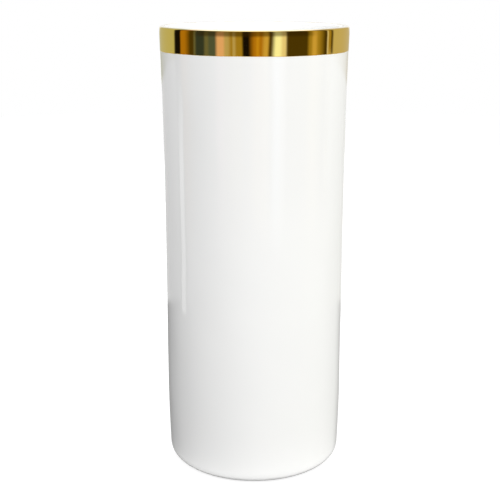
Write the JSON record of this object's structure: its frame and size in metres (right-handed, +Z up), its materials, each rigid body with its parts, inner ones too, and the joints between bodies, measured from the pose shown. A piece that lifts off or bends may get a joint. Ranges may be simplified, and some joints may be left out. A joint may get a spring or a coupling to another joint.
{
  "type": "vase",
  "caption": "Tall straight porcelain vase, white glazed inside and out, with a polished gold band at the rim and a bare foot ring.",
  "frame": {"origin": "centre of the foot ring, in the plane that the vase rests on", "axes": "+Z up along the vase's axis of revolution; X and Y are any two level directions"},
  "size_m": [0.1038, 0.1038, 0.2501],
  "materials": {
    "bisque": "matte",
    "white_glaze": "gloss",
    "gold": "polished"
  },
  "bodies": {
    "root": {"porcelain_body": "bisque", "outer_glaze": "white_glaze", "inner_glaze": "white_glaze", "base_glaze": "white_glaze", "gold_rim_band": "gold"}
  },
  "joints": []
}
